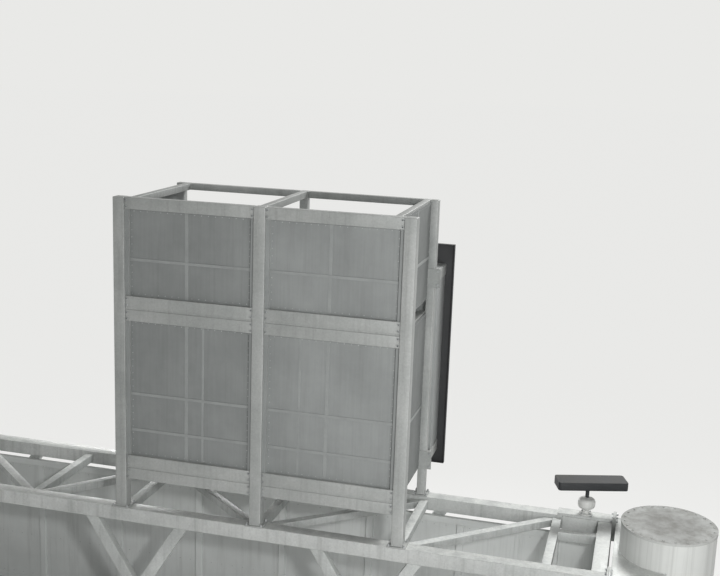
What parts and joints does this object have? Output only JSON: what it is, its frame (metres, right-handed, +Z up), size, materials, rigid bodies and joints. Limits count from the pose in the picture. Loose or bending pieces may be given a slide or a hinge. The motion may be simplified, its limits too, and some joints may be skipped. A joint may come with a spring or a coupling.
{
  "type": "overhead sign gantry",
  "caption": "Portal sign gantry: tubular columns, an open lattice box girder with a walkway, and a framed cage that carries a sign enclosure above the girder.",
  "frame": {"origin": "bottom centre of the overall box, on the ground", "axes": "+X along the girder, +Y the side the sign faces, +Z up"},
  "size_m": [20.4, 3.395, 14.86],
  "materials": {
    "column_paint": "satin light grey paint",
    "cap_steel": "matt grey paint",
    "girder_steel": "weathered galvanised steel, matt",
    "brace_steel": "weathered galvanised steel, matt",
    "cage_steel": "galvanised steel, matt",
    "panel_sheet": "matt mill-finish sheet",
    "cladding_sheet": "matt sheet",
    "deck_grating": "galvanised open grating",
    "sign_case": "satin grey paint",
    "sign_black": "matt black",
    "detector_white": "satin white paint",
    "detector_dark": "matt dark grey"
  },
  "bodies": {
    "root": {"base_right": "girder_steel", "base_left": "girder_steel", "column_right": "column_paint", "column_left": "column_paint", "cap_right": "cap_steel", "cap_left": "cap_steel", "upper_crosshead_right": "girder_steel", "upper_crosshead_left": "girder_steel", "lower_crosshead_right": "girder_steel", "lower_crosshead_left": "girder_steel", "near_top_chord": "girder_steel", "far_top_chord": "girder_steel", "near_low_chord": "girder_steel", "far_low_chord": "girder_steel", "end_frame_right": "girder_steel", "end_frame_left": "girder_steel", "near_brace_right": "brace_steel", "near_brace_mid": "brace_steel", "near_brace_left": "brace_steel", "far_brace_right": "brace_steel", "far_brace_mid": "brace_steel", "far_brace_left": "brace_steel", "top_bracing": "brace_steel", "floor_bracing": "brace_steel", "near_guard": "brace_steel", "deck": "deck_grating", "far_cladding": "cladding_sheet", "near_post_left": "cage_steel", "near_post_mid": "cage_steel", "near_post_right": "cage_steel", "far_post_left": "cage_steel", "far_post_mid": "cage_steel", "far_post_right": "cage_steel", "face_frame_left": "cage_steel", "face_frame_right": "cage_steel", "far_sill": "cage_steel", "cage_top": "cage_steel", "side_frame_left": "cage_steel", "side_frame_right": "cage_steel", "sign_rails": "cage_steel", "side_sheets_left": "panel_sheet", "side_sheets_right": "panel_sheet", "upper_panel_left": "panel_sheet", "upper_panel_right": "panel_sheet", "lower_panel_left": "panel_sheet", "lower_panel_right": "panel_sheet", "sign_enclosure": "sign_case", "display_board": "sign_black", "detector_post": "detector_white", "detector_slab": "detector_dark"}
  },
  "joints": []
}
